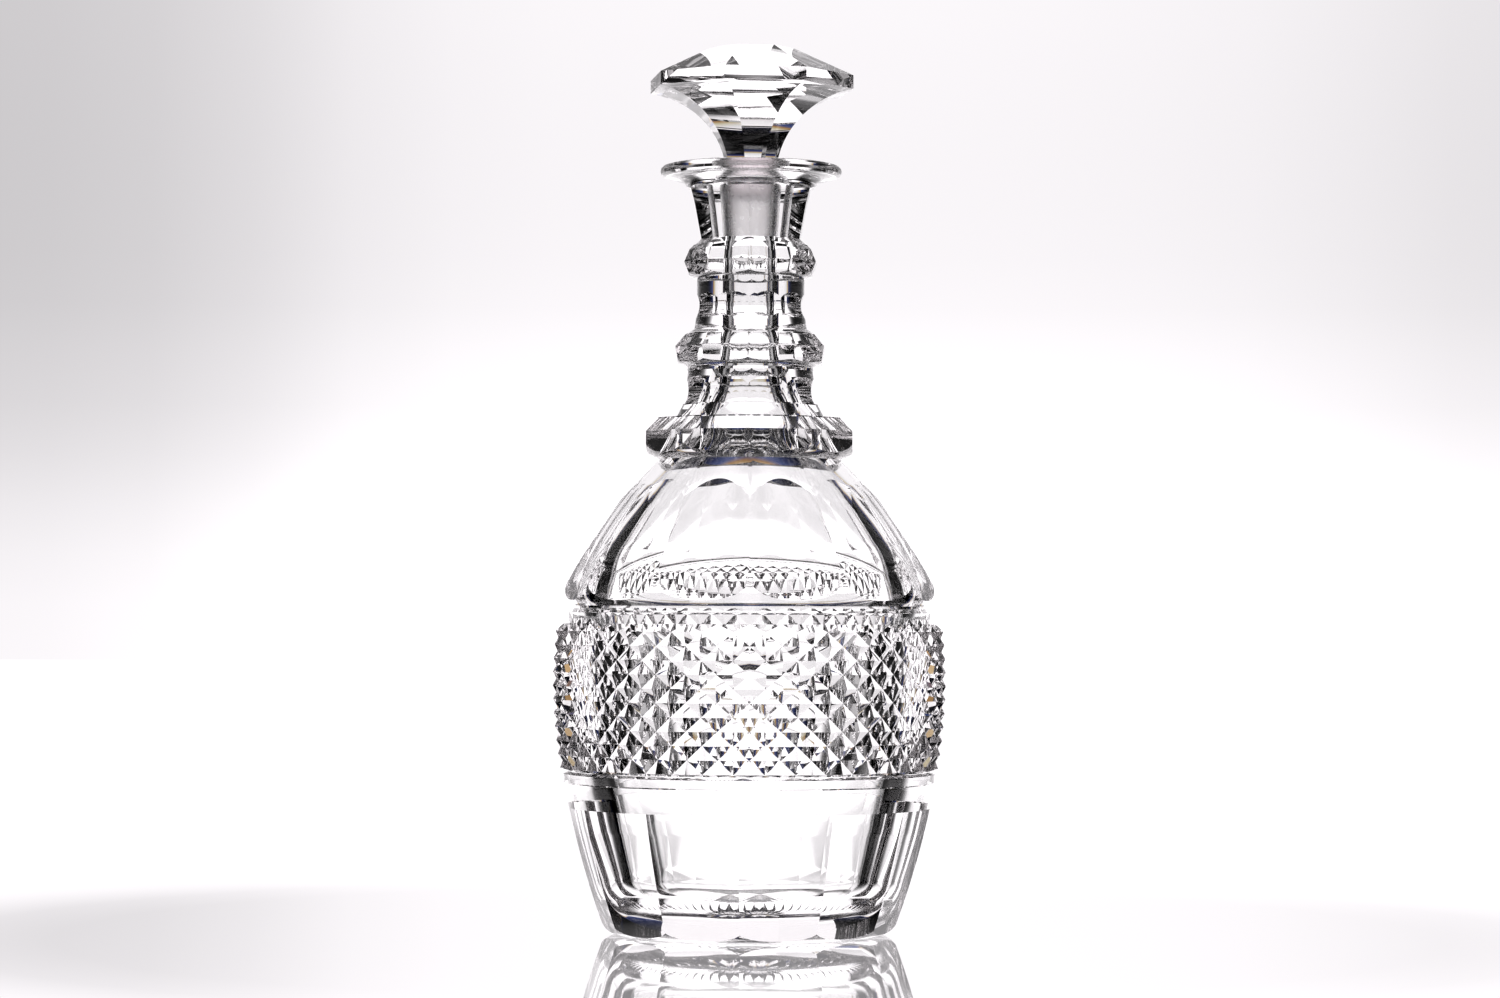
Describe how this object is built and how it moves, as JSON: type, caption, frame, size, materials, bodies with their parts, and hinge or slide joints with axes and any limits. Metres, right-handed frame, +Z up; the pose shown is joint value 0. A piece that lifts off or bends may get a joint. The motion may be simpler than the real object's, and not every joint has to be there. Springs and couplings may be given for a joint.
{
  "type": "cut crystal decanter",
  "caption": "Cut crystal decanter with faceted neck rings, a band of diamond points, panel cuts, a star-cut foot and a faceted ground stopper.",
  "frame": {"origin": "centre of the foot's resting face", "axes": "+Z up along the decanter's axis, from the foot to the stopper; -Y is the front"},
  "size_m": [0.1214, 0.1214, 0.2734],
  "materials": {
    "crystal": "cut and polished clear lead crystal with sharp facet edges",
    "stopper_crystal": "cut and polished clear lead crystal, with a finely ground shank"
  },
  "bodies": {
    "decanter": {"decanter_body": "crystal"},
    "stopper": {"stopper": "stopper_crystal"}
  },
  "joints": [
    {"name": "stopper_lift", "type": "slide", "parent": "decanter", "child": "stopper", "axis": [0, 0, 1], "range_m": [0, 0.06]}
  ]
}
